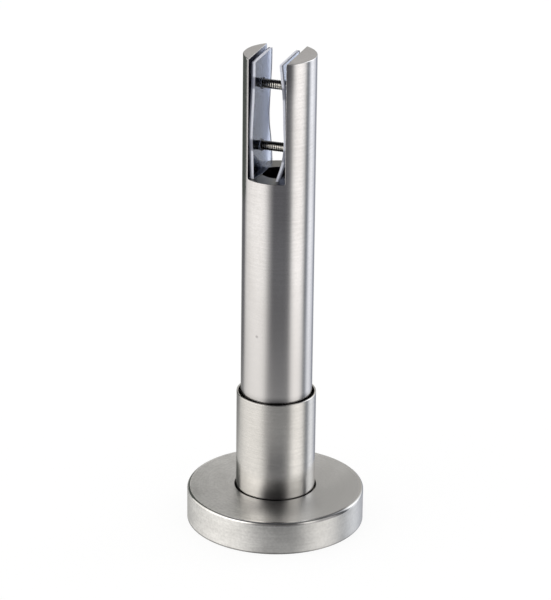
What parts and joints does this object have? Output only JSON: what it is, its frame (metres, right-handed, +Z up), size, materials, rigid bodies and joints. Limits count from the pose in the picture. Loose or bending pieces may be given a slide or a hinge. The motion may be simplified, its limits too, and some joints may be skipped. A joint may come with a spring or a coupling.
{
  "type": "balustrade spigot",
  "caption": "Height-adjustable floor spigot that clamps the lower edge of a glass panel in a slotted round head, with a cover sleeve and a cover rosette.",
  "frame": {"origin": "on the post's axis at floor level, under the base plate", "axes": "+Z up along the post, +Y along the panel slot, +X from the jaw with the screw heads towards the jaw with the threads"},
  "size_m": [0.095, 0.095, 0.2615],
  "materials": {
    "satin_stainless": "satin, fine grain",
    "plain_steel": "turned, uncoated",
    "screw_steel": "dark, oiled thread",
    "clear_plastic": "clear, smooth"
  },
  "bodies": {
    "base": {"base_plate": "plain_steel", "threaded_stud": "plain_steel"},
    "post": {"post": "satin_stainless", "liner_left": "clear_plastic", "liner_right": "clear_plastic"},
    "jack_nut": {"jack_nut": "plain_steel"},
    "lock_screw": {"lock_screw": "screw_steel"},
    "clamp_screw_upper": {"clamp_screw_upper": "screw_steel"},
    "clamp_screw_lower": {"clamp_screw_lower": "screw_steel"},
    "cover_sleeve": {"cover_sleeve": "satin_stainless"},
    "cover_rosette": {"cover_rosette": "satin_stainless"}
  },
  "joints": [
    {"name": "post_rise", "type": "slide", "parent": "base", "child": "post", "axis": [0, 0, 1], "range_m": [0, 0.03]},
    {"name": "nut_turn", "type": "hinge", "parent": "post", "child": "jack_nut", "pos_m": [0, 0, 0.019], "axis": [0, 0, 1], "range_deg": [0, 4320]},
    {"name": "lock_back_off", "type": "slide", "parent": "post", "child": "lock_screw", "axis": [0, -1, 0], "range_m": [0, 0.001]},
    {"name": "upper_screw_draw", "type": "slide", "parent": "post", "child": "clamp_screw_upper", "axis": [-1, 0, 0], "range_m": [0, 0.029]},
    {"name": "lower_screw_draw", "type": "slide", "parent": "post", "child": "clamp_screw_lower", "axis": [-1, 0, 0], "range_m": [0, 0.029]},
    {"name": "sleeve_lift", "type": "slide", "parent": "base", "child": "cover_sleeve", "axis": [0, 0, 1], "range_m": [0, 0.12]},
    {"name": "rosette_lift", "type": "slide", "parent": "base", "child": "cover_rosette", "axis": [0, 0, 1], "range_m": [0, 0.054]}
  ],
  "couplings": [
    {"joint": "nut_turn", "follows": "post_rise", "rad_per_m": 2513.3}
  ]
}
